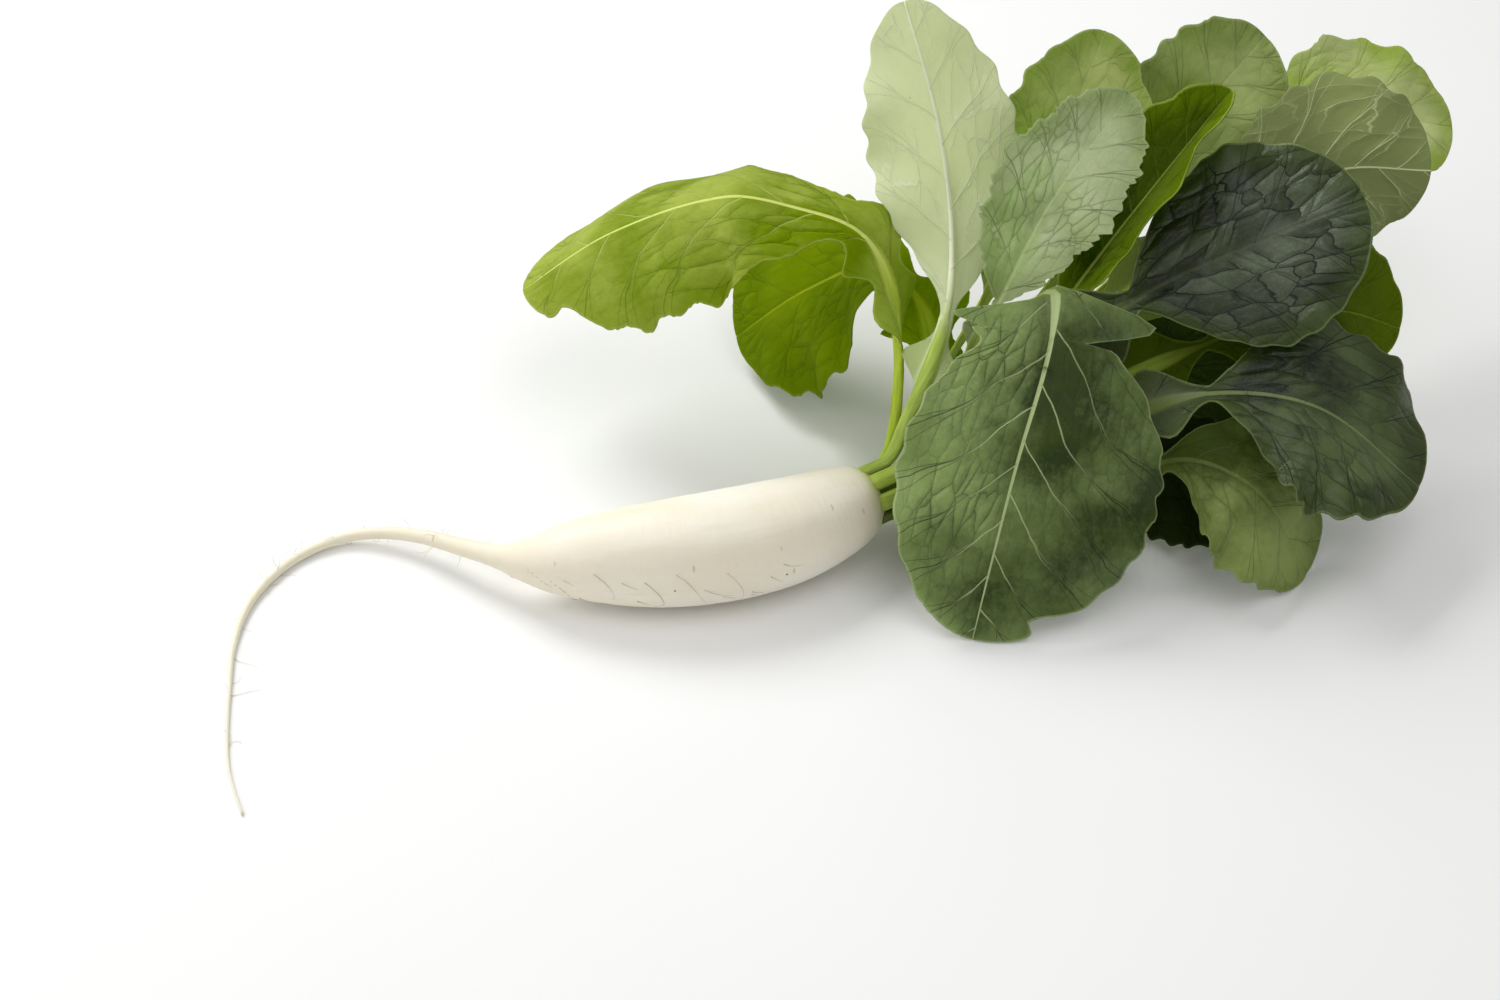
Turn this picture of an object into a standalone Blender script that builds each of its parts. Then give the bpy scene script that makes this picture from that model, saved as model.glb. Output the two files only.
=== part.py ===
"""An icicle radish as picked, lying on a flat surface: the white root with its long tail, and its leaves.

Metres, +Z up. The origin is the middle of the flat spot under the root's belly. The root lies along X with
its crown at the right, and the tail runs out to the left and curls to the front.
"""

import math
from typing import NamedTuple

import bmesh
import bpy
import numpy as np
from mathutils import Vector

for leftover in list(bpy.data.objects):
    bpy.data.objects.remove(leftover, do_unlink=True)

MM = 0.001
WELD = 0.01 * MM  # vertices closer than this are one

# Root: its middle line from the crown to the tip of the tail, each point as x, y, height and radius in mm.
ROOT_LINE = [
    (35.2, 16.9, 15.2, 7.9),
    (34.2, 16.3, 15.2, 9.2),
    (31.5, 14.6, 15.2, 10.7),
    (26.0, 11.2, 15.1, 12.4),
    (14.0, 4.8, 14.8, 14.3),
    (0.0, 0.0, 14.65, 15.0),
    (-14.0, -2.6, 14.5, 14.6),
    (-27.0, -4.0, 14.2, 13.3),
    (-38.0, -4.4, 13.7, 11.4),
    (-48.0, -4.2, 13.0, 8.7),
    (-55.0, -3.4, 12.3, 5.9),
    (-62.0, -1.2, 11.4, 3.5),
    (-72.0, 4.2, 9.2, 2.45),
    (-83.0, 10.6, 6.6, 2.0),
    (-94.0, 14.4, 4.2, 1.7),
    (-104.0, 14.6, 2.4, 1.5),
    (-114.0, 10.0, 1.5, 1.3),
    (-122.0, 2.0, 1.3, 1.2),
    (-128.0, -9.5, 1.1, 1.0),
    (-130.5, -24.0, 0.9, 0.8),
    (-130.0, -39.0, 0.7, 0.6),
    (-129.0, -54.0, 0.6, 0.5),
    (-127.0, -67.0, 0.5, 0.42),
    (-121.0, -84.0, 0.45, 0.36),
]
SHOULDER = 9.0  # mm of the crown end where the rings stand close together
SHOULDER_STEP = 1.5
ROOT_STEP = 4.0  # mm between the other rings
ROOT_SIDES_RESOLUTION = 6  # bevel resolution of the round section, which gives 16 sides

# Leaves: sizes shared by all of them, in mm.
GAP = 0.6  # left between a leaf's foot and the crown
FOOT_RUN = 6.0  # an outer stalk leaves the crown square before it bends
INNER_RUN = 1.0  # and an inner one goes this much further for each mm that it grows nearer the centre
STALK_HALF_WIDTH = (2.2, 1.7)  # at the crown and under the blade
STALK_THICKNESS = (2.2, 1.9)
BLADE_THICKNESS = 0.7
RIB_HALF_WIDTH = 2.4
STALK_FOLD = 10.0  # degrees that each side of the stalk rises, which makes its channel
VEIN_SLANT = 0.5  # how far the cross rows lean forwards, like the side veins, for each mm of width
SLANT_RUN = 0.35  # of the blade, over which they begin to lean
BLADE_ROWS = 24
TIP_CROWDING = 1.5  # above 1 the rows stand closer together towards the tip
STALK_ROWS = 11
STALK_CROWDING = 1.25  # and towards the blade
HALF_COLUMNS = 3
LOBE_STAGGER = 1.0  # the right lobe of a pair sits this much lower and the left one as much higher
LOWER_PLACE = 2.6  # distance from the first pair down to the second, in spreads
BAY_PLACE, BAY_SPREAD = 0.9, 0.04  # of the blade: where some margins have a bay, and how wide it is
TIP_ROUNDNESS = 0.5
SCALLOPS = 8  # along each margin
SCALLOP_SHIFTS = (0.3, 0.2)  # of one scallop, from leaf to leaf and between the two margins
WAVE_SHIFT = 1.7  # radians between the two margins' waves
WAVE_POWER = 1.6  # the waves grow towards the margin as this power of the distance from the rib
WAVE_RUN = 0.25  # of the blade, over which the waves begin
FOLD_RUN = 0.3  # of the blade, over which the stalk's fold becomes the blade's
RIB_END = 0.8  # of the blade, where the rib has sunk into it
STALK_TURN = 0.35  # of the stalk, in which its channel turns up from facing the crown's axis
STALK_LEAN = 0.3  # how far the channel looks back towards that axis there


class Leaf(NamedTuple):
    """One leaf: where its stalk grows from the crown, the line of its rib, and the form of its blade."""

    ring: float  # mm from the crown's centre
    turn: float  # degrees round the crown from the top, towards the front
    stalk: float  # size of the stalk, against the outer leaves'
    line: tuple  # points of the rib past the foot, mm
    blade: float  # length of the blade, mm
    width: float  # full width of the blade, mm
    faces: tuple  # where the upper side looks, at the blade's base and at its tip
    fold: float = 8.0  # degrees that each half rises from the rib
    cup: float = -15.0  # degrees more at the margin; below zero the margins hang down
    base: float = 0.9  # how the blade begins: 0.5 is round, above 1 is a wedge
    peak: float = 1.2  # where it is widest: 1 is the middle, more is nearer the tip
    wave: float = 2.2  # height of the margin's waves, mm
    waves: float = 3.0  # how many of them
    lobes: float = 5.0  # reach of the pair of lobes on the stalk, mm
    lobe_place: float = 8.0  # how far they sit below the blade, mm
    lobe_spread: float = 4.0  # and how broad they are, mm
    lower: float = 0.0  # reach of a second pair below, against the first
    bay: float = 0.0  # depth of the bay in the right margin near the tip, as a share of the width
    skew: float = 0.0  # how much wider the right half is, and how much narrower the left one
    scallop: float = 0.04  # depth of the margin's scallops, as a share of the half width
    seed: float = 0.0


OUTER, BETWEEN, INNER, CORE = 6.2, 4.75, 3.0, 0.4  # rings of stalks on the crown
SLENDER, SLIGHT = 0.65, 0.45  # the inner leaves' stalks, and the one between, against the outer ones'

LEAVES = {
    "leaf_front": Leaf(OUTER, 16, 1.0, ((54, 22, 34), (70, 32, 52), (80, 40, 64), (83, 37, 69), (81, 24, 60),
                                        (73, 4, 41), (66.5, -12, 20), (62, -21.5, 1.0)),
                       82, 70, ((0, -0.5, 1), (0, -1, 0.6)), fold=6, cup=-30, base=0.42, peak=0.9,
                       lobes=25, lobe_place=4.5, lobe_spread=5, bay=0.35, skew=0.14, scallop=0.02, seed=1),
    "leaf_left": Leaf(OUTER, -82, 1.0, ((44, 38, 38), (41, 50, 60), (33, 57, 73), (17, 60.5, 78.5),
                                        (-2.5, 63.5, 80), (-33, 67, 64.5), (-57.5, 68, 43.5)),
                      106, 58, ((0.1, -0.1, 1), (-0.5, -0.2, 1)), fold=-12, cup=-42, base=0.8,
                      lobes=12, lobe_place=2, lobe_spread=7, lower=1.0, bay=0.3, seed=2),
    "leaf_rear": Leaf(OUTER, -130, 1.0, ((52, 44, 20), (51.5, 60, 40), (40, 69, 51), (20, 79, 34),
                                         (0, 88, 8)),
                      72, 58, ((-0.1, -0.4, 1), (-0.5, -0.5, 0.7)), fold=4, cup=-20,
                      lobes=12, lobe_place=8, lobe_spread=6, lower=0.9, seed=3),
    "leaf_tall": Leaf(OUTER, -34, 1.0, ((46, 26, 36), (55, 40, 56), (57, 56, 72), (53, 74, 96),
                                        (44, 92, 122)),
                      84, 41, ((0.2, 1, -0.4), (0.0, 1, -0.7)), fold=6, cup=16, base=1.1, peak=1.1,
                      lobes=8, lobe_place=14, lobe_spread=5, seed=4),
    "leaf_toothed": Leaf(INNER, -45, SLENDER, ((53, 30, 33), (68, 41, 61), (82, 54, 86), (102, 69, 110)),
                         64, 36, ((0.1, -0.8, 0.6), (0.3, -0.8, 0.4)), fold=10, cup=10, base=0.6,
                         skew=0.1, seed=5),
    "leaf_folded": Leaf(INNER, 34, SLENDER, ((60, 30, 28), (84, 47, 53), (106, 66, 74), (131, 88, 96)),
                        76, 34, ((-0.6, -0.7, 0.4), (-0.7, -0.5, 0.5)), fold=38, cup=14, seed=6),
    "leaf_back": Leaf(INNER, -110, SLENDER, ((50, 38, 27), (72, 66, 53), (87, 86, 81), (98, 100, 106)),
                      62, 44, ((0.2, -0.8, 0.6), (0.3, -0.9, 0.4)), fold=10, cup=14, seed=7),
    "leaf_round": Leaf(OUTER, 66, 1.0, ((61, 22, 25), (86, 36, 50), (108, 44, 64), (138, 50, 77),
                                        (164, 58, 84)),
                       66, 56, ((0, -0.7, 1), (0.2, -0.6, 1)), fold=4, cup=-26, base=0.7,
                       lobes=11, lobe_place=14, lobe_spread=10, scallop=0.015, seed=8),
    "leaf_veined": Leaf(INNER, 178, SLENDER, ((62, 34, 14), (78, 41, 27), (98, 52, 48), (130, 68, 66),
                                              (160, 79, 76), (185, 79, 76)),
                        56, 50, ((0.2, 0.9, -0.4), (0.4, 0.8, -0.4)), fold=8, cup=20, base=0.6,
                        lobes=10, lobe_place=27, lobe_spread=12, seed=9),
    "leaf_far": Leaf(CORE, 180, SLENDER, ((62, 38, 18), (96, 70, 36), (134, 93, 60), (168, 107, 71),
                                          (197, 112, 64)),
                     62, 48, ((0.2, -0.6, 1), (0.6, -0.4, 0.8)), fold=6, cup=-16, seed=10),
    "leaf_top": Leaf(CORE, 0, SLENDER, ((55, 34, 23.5), (83, 63, 46), (108, 86, 66), (128, 101, 83),
                                        (143, 115, 93)),
                     58, 44, ((0.1, -0.8, 0.7), (0.2, -0.8, 0.6)), fold=10, cup=12, seed=14),
    "leaf_low": Leaf(INNER, 106, SLENDER, ((65, 30, 16), (100, 42, 32), (134, 50, 44), (160, 53, 49),
                                           (178, 54, 42)),
                     56, 44, ((0.1, -0.8, 0.7), (0.5, -0.7, 0.6)), fold=6, cup=-18,
                     lobes=12, lobe_place=16, lobe_spread=9, lower=0.8, seed=11),
    "leaf_glossy": Leaf(OUTER, 116, 1.0, ((60, 18, 18), (92, 18, 38), (122, 22, 48), (152, 20, 45),
                                          (180, 12, 24)),
                        66, 56, ((0, -0.4, 1), (0.6, -0.4, 0.8)), fold=8, cup=-22,
                        lobes=9, lobe_place=13, lobe_spread=8, lower=0.6, seed=12),
    "leaf_under": Leaf(OUTER, 166, 1.0, ((56, 20, 7), (91, 17, 17), (118, 15, 31), (137, 8, 26),
                                         (152, 3, 0.4)),
                       58, 44, ((0.2, -0.7, 0.7), (0.7, -0.5, 0.5)), fold=6, cup=-18,
                       lobes=8, lobe_place=12, lobe_spread=8, lower=0.6, seed=13),
    "leaf_shaded": Leaf(BETWEEN, 142, SLIGHT, ((59, 23.5, 11), (86, 29, 15), (108, 28, 16), (126, 23, 12),
                                               (140, 18, 4)),
                        52, 36, ((0, -0.6, 0.8), (0.3, -0.6, 0.7)), fold=6, cup=-16, lobes=4, seed=15),
    "leaf_resting": Leaf(BETWEEN, 202, SLIGHT, ((58, 31, 4.6), (84, 48, 8), (105, 60, 12.5),
                                                (128, 67, 15.5), (148, 70, 12.5)),
                         60, 44, ((0, -0.5, 0.8), (0.2, -0.6, 0.7)), fold=6, cup=-12, lobes=4, seed=16),
}


def material(name, colour, roughness):
    """A plain surface of one colour."""
    made = bpy.data.materials.new(name)
    made.use_nodes = True
    shader = made.node_tree.nodes["Principled BSDF"]
    shader.inputs["Base Color"].default_value = (*colour, 1.0)
    shader.inputs["Roughness"].default_value = roughness
    return made


def smooth_line(points, before=None, per_span=16):
    """A smooth curve through every point, as many short steps (a Catmull-Rom curve by chord lengths)."""
    points = np.array(points, float)
    before = 2 * points[0] - points[1] if before is None else before
    ends = [before, *points, 2 * points[-1] - points[-2]]
    steps = []
    for before, start, end, after in zip(ends, ends[1:], ends[2:], ends[3:]):
        span = np.linalg.norm((end - start)[:3])
        slope_in = span * (end - before) / (span + np.linalg.norm((start - before)[:3]))
        slope_out = span * (after - start) / (span + np.linalg.norm((after - end)[:3]))
        for t in np.arange(per_span) / per_span:
            steps.append(
                (2 * t**3 - 3 * t**2 + 1) * start
                + (t**3 - 2 * t**2 + t) * slope_in
                + (3 * t**2 - 2 * t**3) * end
                + (t**3 - t**2) * slope_out
            )
    return np.array([*steps, points[-1]])


def lengths_along(line):
    """The distance from the line's start to each of its points."""
    return np.concatenate([[0], np.cumsum(np.linalg.norm(np.diff(line[:, :3], axis=0), axis=1))])


def unit(vectors):
    return vectors / np.linalg.norm(vectors, axis=-1, keepdims=True)


def ramp(value, start, end):
    """0 before start, 1 after end, and a smooth step between."""
    t = np.clip((value - start) / (end - start), 0, 1)
    return t * t * (3 - 2 * t)


def root_rings():
    """The root's rings from the crown to the tip, each as x, y, height and radius in mm."""
    line = smooth_line(ROOT_LINE)
    along = lengths_along(line)
    stops = [*np.arange(0, SHOULDER, SHOULDER_STEP), *np.arange(SHOULDER, along[-1], ROOT_STEP)]
    return np.stack([np.interp(stops, along, column) for column in line.T], axis=1)


RINGS = root_rings()
CROWN = RINGS[0, :3]
CROWN_AXIS = unit(CROWN - RINGS[1, :3])
CROWN_SIDE = unit(np.cross(CROWN_AXIS, (0, 0, 1)))
CROWN_UP = np.cross(CROWN_SIDE, CROWN_AXIS)


def make_root():
    """Root and tail in one: a round tube of changing radius, cut flat where the belly rests."""
    curve = bpy.data.curves.new("root_line", "CURVE")
    curve.dimensions = "3D"
    curve.bevel_depth = MM
    curve.bevel_resolution = ROOT_SIDES_RESOLUTION
    curve.use_fill_caps = True
    spline = curve.splines.new("POLY")
    spline.points.add(len(RINGS) - 1)
    for point, (x, y, z, radius) in zip(spline.points, RINGS):
        point.co = (x * MM, y * MM, z * MM, 1)
        point.radius = radius
    guide = bpy.data.objects.new("root_line", curve)
    parts.objects.link(guide)
    bpy.context.view_layer.update()
    mesh = bpy.data.meshes.new_from_object(guide.evaluated_get(bpy.context.evaluated_depsgraph_get()))
    bpy.data.objects.remove(guide)
    shape = bmesh.new()
    shape.from_mesh(mesh)
    bmesh.ops.remove_doubles(shape, verts=shape.verts, dist=WELD)
    everything = [*shape.verts, *shape.edges, *shape.faces]
    cut = bmesh.ops.bisect_plane(shape, geom=everything, plane_co=(0, 0, 0), plane_no=(0, 0, 1),
                                 clear_inner=True)
    rim = [item for item in cut["geom_cut"] if isinstance(item, bmesh.types.BMEdge)]
    bmesh.ops.contextual_create(shape, geom=rim)
    bmesh.ops.recalc_face_normals(shape, faces=shape.faces)
    shape.to_mesh(mesh)
    shape.free()
    mesh.name = "taproot"
    mesh.materials.clear()
    mesh.materials.append(material("radish_skin", (0.82, 0.76, 0.60), 0.45))
    mesh.shade_smooth()
    root = bpy.data.objects.new("taproot", mesh)
    parts.objects.link(root)
    return root


def rib_frame(leaf):
    """The rib's curve in mm, the distance along it, and its side and upper directions at each step."""
    turn = math.radians(leaf.turn)
    outward = math.cos(turn) * CROWN_UP + math.sin(turn) * CROWN_SIDE
    foot = CROWN + leaf.ring * outward + GAP * CROWN_AXIS
    run = FOOT_RUN + INNER_RUN * (OUTER - leaf.ring)
    bend = foot + run * CROWN_AXIS
    reach = np.linalg.norm(leaf.line[0] - bend)
    curve = smooth_line([bend, *leaf.line], before=leaf.line[0] - 2 * reach * CROWN_AXIS)
    straight = foot + np.linspace(0, run, 5)[:-1, None] * CROWN_AXIS
    line = np.concatenate([straight, curve])
    along = lengths_along(line)
    forward = unit(np.gradient(line, along, axis=0))
    length = along[-1]
    stalk = length - leaf.blade
    faces = [unit(np.array(face, float)) for face in leaf.faces]
    looks = [-outward, CROWN_AXIS - STALK_LEAN * outward, *faces]
    turned = STALK_TURN * stalk
    upper = np.tile(looks[0], (len(line), 1))
    for look, start, end in zip(looks[1:], (0, turned, stalk), (turned, stalk, length)):
        share = ramp(along, start, end)[:, None]
        upper = upper * (1 - share) + look * share
    upper = unit(upper - np.sum(upper * forward, axis=1, keepdims=True) * forward)
    return line, along, np.cross(upper, forward), upper


def half_width(leaf, x, length, side):
    """Half the leaf's width at distance x along it: the stalk, its small lobes and the scalloped blade."""
    stalk = length - leaf.blade
    narrow = leaf.stalk * np.interp(x, (0, stalk, length), (*STALK_HALF_WIDTH, 0))
    t = np.clip((x - stalk) / leaf.blade, 0, 1)
    roundness = leaf.base + (TIP_ROUNDNESS - leaf.base) * t
    blade = leaf.width / 2 * (1 + leaf.skew * side) * np.sin(math.pi * t**leaf.peak) ** roundness
    shift = SCALLOP_SHIFTS[0] * leaf.seed + SCALLOP_SHIFTS[1] * side
    scallops = 1 + leaf.scallop * np.sin(math.tau * (SCALLOPS * t + shift))
    bay = 1 - leaf.bay * (side > 0) * np.exp(-(((t - BAY_PLACE) / BAY_SPREAD) ** 2))
    down = (stalk - x - leaf.lobe_place - LOBE_STAGGER * side) / leaf.lobe_spread
    lobe = leaf.lobes * (np.exp(-(down**2)) + leaf.lower * np.exp(-((down - LOWER_PLACE) ** 2)))
    return np.sqrt(narrow**2 + (blade * scallops * bay) ** 2) + lobe * ramp(x, 0, STALK_TURN * stalk)


def blade_points(leaf, x, y, frame):
    """Places flat points (x along the rib, y across it) on the bent, folded and waved leaf. In mm."""
    line, along, sides, uppers = frame
    length = along[-1]
    stalk = length - leaf.blade
    at = [np.stack([np.interp(x, along, part[:, i]) for i in range(3)], axis=-1)
          for part in (line, sides, uppers)]
    reach = np.abs(y)
    opened = ramp(x, stalk, stalk + FOLD_RUN * leaf.blade)
    fold = np.radians(STALK_FOLD + (leaf.fold - STALK_FOLD) * opened)
    curl = math.radians(leaf.cup) / (leaf.width / 2)
    across = (np.sin(fold + curl * reach) - np.sin(fold)) / curl
    rise = (np.cos(fold) - np.cos(fold + curl * reach)) / curl
    phase = leaf.seed + WAVE_SHIFT * (y > 0)
    swell = np.clip(reach / (leaf.width / 2), 0, 1) ** WAVE_POWER
    swell = swell * ramp(x, stalk, stalk + WAVE_RUN * leaf.blade)
    rise = rise + leaf.wave * swell * np.sin(math.tau * leaf.waves * (x - stalk) / leaf.blade + phase)
    return at[0] + at[1] * (np.sign(y) * across)[..., None] + unit(at[2]) * rise[..., None]


def make_leaf(name, leaf):
    """One leaf: a grid laid along its rib, given the thickness of stalk, rib and blade by Solidify."""
    frame = rib_frame(leaf)
    length = frame[1][-1]
    stalk = length - leaf.blade
    rows = STALK_ROWS + BLADE_ROWS
    shape = bmesh.new()
    bmesh.ops.create_grid(shape, x_segments=rows, y_segments=2 * HALF_COLUMNS, size=1)
    row = np.array([vert.co.x for vert in shape.verts]) * rows / 2 + rows / 2
    column = np.array([vert.co.y for vert in shape.verts])
    on_stalk = 1 - (1 - np.clip(row / STALK_ROWS, 0, 1)) ** STALK_CROWDING
    on_blade = 1 - (1 - np.clip((row - STALK_ROWS) / BLADE_ROWS, 0, 1)) ** TIP_CROWDING
    margin = stalk * on_stalk + leaf.blade * on_blade
    lean = VEIN_SLANT * half_width(leaf, margin, length, 0) * ramp(on_blade, 0, SLANT_RUN)
    x = margin - lean * (1 - np.abs(column))
    y = column * half_width(leaf, margin, length, np.sign(column))
    for vert, place in zip(shape.verts, blade_points(leaf, x, y, frame)):
        vert.co = Vector(place) * MM
    rib_end = stalk + RIB_END * leaf.blade
    ribbed = leaf.stalk * np.interp(x, (0, stalk, rib_end), (*STALK_THICKNESS, BLADE_THICKNESS))
    on_rib = np.clip(1 - (y / RIB_HALF_WIDTH) ** 2, 0, 1)
    thick = np.maximum(BLADE_THICKNESS + (ribbed - BLADE_THICKNESS) * on_rib, BLADE_THICKNESS)
    mesh = bpy.data.meshes.new(name)
    shape.verts.index_update()
    layer = shape.verts.layers.deform.verify()
    for vert, depth in zip(shape.verts, thick):
        vert[layer][0] = depth / STALK_THICKNESS[0]
    bmesh.ops.remove_doubles(shape, verts=shape.verts, dist=WELD)
    bmesh.ops.triangulate(shape, faces=shape.faces)
    shape.to_mesh(mesh)
    shape.free()
    mesh.shade_smooth()
    mesh.materials.append(leaf_green)
    grown = bpy.data.objects.new(name, mesh)
    parts.objects.link(grown)
    grown.vertex_groups.new(name="thickness")
    body = grown.modifiers.new("thickness", "SOLIDIFY")
    body.thickness = STALK_THICKNESS[0] * MM
    body.vertex_group = "thickness"
    body.offset = -1
    return grown


parts = bpy.data.collections.new("icicle_radish")
bpy.context.scene.collection.children.link(parts)
leaf_green = material("leaf_green", (0.09, 0.17, 0.03), 0.5)
make_root()
for leaf_name, leaf_form in LEAVES.items():
    make_leaf(leaf_name, leaf_form)
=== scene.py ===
"""The looks of an icicle radish as picked: a white root with a long tail, rootlets and a head of leaves.

Lengths are in mm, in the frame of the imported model: +Z up, the crown at +X, the origin under the belly.
"""

import math
from typing import NamedTuple

import bmesh
import bpy
import numpy as np
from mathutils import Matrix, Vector, noise


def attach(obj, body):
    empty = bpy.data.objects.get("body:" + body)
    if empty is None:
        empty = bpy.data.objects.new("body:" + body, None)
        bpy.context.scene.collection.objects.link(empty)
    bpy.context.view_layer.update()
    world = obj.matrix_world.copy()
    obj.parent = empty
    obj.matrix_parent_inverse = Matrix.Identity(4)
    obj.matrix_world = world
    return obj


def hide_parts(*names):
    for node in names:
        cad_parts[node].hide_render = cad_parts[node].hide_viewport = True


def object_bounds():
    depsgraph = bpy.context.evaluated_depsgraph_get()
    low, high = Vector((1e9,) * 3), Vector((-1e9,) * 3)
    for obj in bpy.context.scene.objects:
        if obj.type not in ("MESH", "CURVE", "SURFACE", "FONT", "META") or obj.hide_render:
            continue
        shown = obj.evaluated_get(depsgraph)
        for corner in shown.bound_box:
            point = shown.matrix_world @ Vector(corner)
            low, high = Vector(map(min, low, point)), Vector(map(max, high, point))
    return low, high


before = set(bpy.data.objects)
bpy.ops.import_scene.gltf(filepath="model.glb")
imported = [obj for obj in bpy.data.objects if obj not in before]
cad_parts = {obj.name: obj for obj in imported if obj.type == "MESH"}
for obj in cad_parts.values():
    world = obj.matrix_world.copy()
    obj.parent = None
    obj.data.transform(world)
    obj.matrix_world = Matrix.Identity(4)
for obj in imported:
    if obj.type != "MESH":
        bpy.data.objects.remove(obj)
cad_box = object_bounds()

# The taproot is a smooth white spindle, drawn out into a long thin tail. It grew in one piece. Its skin is
# thin, a little see-through, and marked by faint rings, short scars where rootlets broke off, and specks.

MM = 0.001
ROOT_LINE = [  # from the crown to the tip of the tail: x, y, height and radius
    (35.2, 16.9, 15.2, 7.9),
    (34.2, 16.3, 15.2, 9.2),
    (31.5, 14.6, 15.2, 10.7),
    (26.0, 11.2, 15.1, 12.4),
    (14.0, 4.8, 14.8, 14.3),
    (0.0, 0.0, 14.65, 15.0),
    (-14.0, -2.6, 14.5, 14.6),
    (-27.0, -4.0, 14.2, 13.3),
    (-38.0, -4.4, 13.7, 11.4),
    (-48.0, -4.2, 13.0, 8.7),
    (-55.0, -3.4, 12.3, 5.9),
    (-62.0, -1.2, 11.4, 3.5),
    (-72.0, 4.2, 9.2, 2.45),
    (-83.0, 10.6, 6.6, 2.0),
    (-94.0, 14.4, 4.2, 1.7),
    (-104.0, 14.6, 2.4, 1.5),
    (-114.0, 10.0, 1.5, 1.3),
    (-122.0, 2.0, 1.3, 1.2),
    (-128.0, -9.5, 1.1, 1.0),
    (-130.5, -24.0, 0.9, 0.8),
    (-130.0, -39.0, 0.7, 0.6),
    (-129.0, -54.0, 0.6, 0.5),
    (-127.0, -67.0, 0.5, 0.42),
    (-121.0, -84.0, 0.45, 0.36),
]
WIDEST = 15.0  # the radius at the belly
TAIL_END = 4.0  # the very tip is left out, which keeps the tail in the model's box
RING_STEP = 1.1
ROOT_SIDES = 88
CROWN_DOME = [(1.0, 6.9), (1.7, 5.4), (2.1, 3.4)]  # how far past the last ring, and the radius there
LUMPS = 0.35  # depth of the root's broad unevenness
RINGS_DEPTH = 0.06  # and of the fine rings round it
FLOOR_GAP = 0.03


def smooth_line(points, before=None, per_span=16):
    """A smooth curve through every point, as many short steps (a Catmull-Rom curve by chord lengths)."""
    points = np.array(points, float)
    before = 2 * points[0] - points[1] if before is None else before
    ends = [before, *points, 2 * points[-1] - points[-2]]
    steps = []
    for before, start, end, after in zip(ends, ends[1:], ends[2:], ends[3:]):
        span = np.linalg.norm((end - start)[:3])
        slope_in = span * (end - before) / (span + np.linalg.norm((start - before)[:3]))
        slope_out = span * (after - start) / (span + np.linalg.norm((after - end)[:3]))
        for t in np.arange(per_span) / per_span:
            steps.append(
                (2 * t**3 - 3 * t**2 + 1) * start
                + (t**3 - 2 * t**2 + t) * slope_in
                + (3 * t**2 - 2 * t**3) * end
                + (t**3 - t**2) * slope_out
            )
    return np.array([*steps, points[-1]])


def lengths_along(line):
    """The distance from the line's start to each of its points."""
    return np.concatenate([[0], np.cumsum(np.linalg.norm(np.diff(line[:, :3], axis=0), axis=1))])


def unit(vectors):
    """The directions of the vectors."""
    return vectors / np.linalg.norm(vectors, axis=-1, keepdims=True)


def ramp(value, start, end):
    """0 before start, 1 after end, and a smooth step between."""
    t = np.clip((value - start) / (end - start), 0, 1)
    return t * t * (3 - 2 * t)


def rough(places, scale, seed=0.0):
    """Smooth noise from -1 to 1 at each place, for bumps about as long as scale."""
    flat = np.asarray(places, float).reshape(-1, 3) / scale + seed * 7.31
    found = np.array([noise.noise(Vector(place)) for place in flat])
    return found.reshape(np.shape(places)[:-1])


def in_scene(name, data):
    """An object of this mesh, lamp or camera, linked to the scene."""
    made = bpy.data.objects.new(name, data)
    bpy.context.scene.collection.objects.link(made)
    return made


def body(name, rings, finish, corner_values=None, right_of=None):
    """A closed body from rings of points, each joined to the next, with both ends capped.

    corner_values holds, for each attribute, the rings' values on the left and on the right half, because
    both halves meet in one column of points. right_of says which columns of faces are on the right.
    """
    count, around = rings.shape[:2]
    ring, step = np.meshgrid(np.arange(count - 1), np.arange(around), indexing="ij")
    here, beside = ring * around + step, ring * around + (step + 1) % around
    faces = np.stack([here, beside, beside + around, here + around], axis=-1).reshape(-1, 4)
    places = rings.reshape(-1, 3)
    corners = places[faces]
    outward = np.cross(corners[:, 2] - corners[:, 0], corners[:, 3] - corners[:, 1])
    if np.sum(outward * (corners.mean(axis=1) - places.mean(axis=0))) < 0:
        faces = faces[:, ::-1]
        first, last = range(around), range(count * around - 1, (count - 1) * around - 1, -1)
    else:
        first, last = range(around - 1, -1, -1), range((count - 1) * around, count * around)
    mesh = bpy.data.meshes.new(name)
    mesh.from_pydata(places * MM, [], [*faces.tolist(), list(first), list(last)])
    if corner_values:
        at = np.empty(len(mesh.loops), int)
        mesh.loops.foreach_get("vertex_index", at)
        right = np.zeros(len(at), bool)
        right[: 4 * len(faces)] = np.repeat(np.tile(right_of, count - 1), 4)
        for label, (left_values, right_values) in corner_values.items():
            left_values, right_values = (v.reshape(len(places), -1) for v in (left_values, right_values))
            values = np.where(right[:, None], right_values[at], left_values[at])
            layer = mesh.attributes.new(label, "FLOAT_VECTOR", "CORNER")
            layer.data.foreach_set("vector", values.astype(np.float32).ravel())
    mesh.shade_smooth()
    mesh.materials.append(finish)
    return in_scene(name, mesh)


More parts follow.
